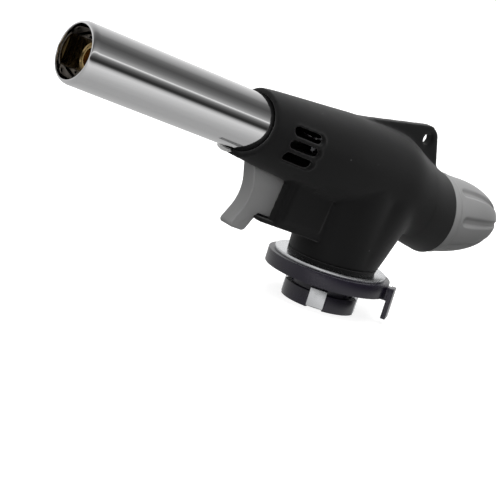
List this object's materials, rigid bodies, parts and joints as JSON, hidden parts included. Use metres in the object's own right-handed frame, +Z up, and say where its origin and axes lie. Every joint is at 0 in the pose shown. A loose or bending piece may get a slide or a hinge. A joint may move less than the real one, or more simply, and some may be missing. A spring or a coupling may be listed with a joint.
{
  "type": "butane torch",
  "caption": "Piezo-fired gas torch head with a chromed flame tube, moulded body, rear control knob, trigger and bayonet can mount.",
  "frame": {"origin": "on the gas can's axis, in the plane where the collar ring seats on the can", "axes": "+X towards the flame mouth, +Y to the torch's left, +Z up along the can axis"},
  "size_m": [0.1843, 0.0416, 0.0737],
  "materials": {
    "housing": "soft-touch matte",
    "grey_plastic": "satin",
    "collar_plastic": "semi-gloss",
    "piezo_plastic": "satin",
    "tube_chrome": "polished",
    "plate_zinc": "bright zinc",
    "valve_zinc": "die cast",
    "burner_brass": "turned",
    "disc_steel": "heat tinted",
    "bracket_steel": "pressed",
    "screw_steel": "zinc plated",
    "seal_rubber": "matte",
    "ceramic": "glazed ceramic"
  },
  "bodies": {
    "torch": {"bayonet_hub": "collar_plastic", "bayonet_tabs": "plate_zinc", "burner_bracket": "bracket_steel", "burner_head": "burner_brass", "flame_disc": "disc_steel", "flame_tube": "tube_chrome", "gas_jet": "valve_zinc", "gland_nut": "burner_brass", "housing_left": "housing", "housing_right": "housing", "housing_screw_middle": "screw_steel", "housing_screw_neck": "screw_steel", "housing_screw_upper_front": "screw_steel", "housing_screw_upper_rear": "screw_steel", "inlet_seal": "seal_rubber", "inlet_socket": "burner_brass", "insulator_clip": "bracket_steel", "mixing_tube": "bracket_steel", "mounting_plate": "plate_zinc", "piezo_unit": "piezo_plastic", "plate_screw_1": "screw_steel", "plate_screw_2": "screw_steel", "plate_screw_3": "screw_steel", "spark_insulator": "ceramic", "spark_wire": "screw_steel", "tube_screw": "screw_steel", "valve_body": "valve_zinc"},
    "knob": {"control_knob": "grey_plastic"},
    "needle": {"needle_spindle": "burner_brass", "spindle_seal": "seal_rubber"},
    "trigger": {"trigger": "grey_plastic", "piezo_plunger": "piezo_plastic"},
    "collar": {"lock_collar": "collar_plastic"}
  },
  "joints": [
    {"name": "knob_turn", "type": "hinge", "parent": "torch", "child": "knob", "pos_m": [-0.0348, 0, 0.0275], "axis": [-1, 0, 0], "range_deg": [0, 450]},
    {"name": "needle_feed", "type": "slide", "parent": "knob", "child": "needle", "axis": [-1, 0, 0], "range_m": [0, 0.00125]},
    {"name": "trigger_pull", "type": "slide", "parent": "torch", "child": "trigger", "axis": [-0.989, 0, -0.1478], "range_m": [0, 0.006], "stiffness_N_per_m": 1500, "springref_m": -0.001},
    {"name": "collar_swivel", "type": "hinge", "parent": "torch", "child": "collar", "pos_m": [0, 0, 0], "axis": [0, 0, 1], "range_deg": [0, 35]}
  ],
  "couplings": [
    {"joint": "needle_feed", "follows": "knob_turn", "m_per_rad": 0.00015915}
  ]
}
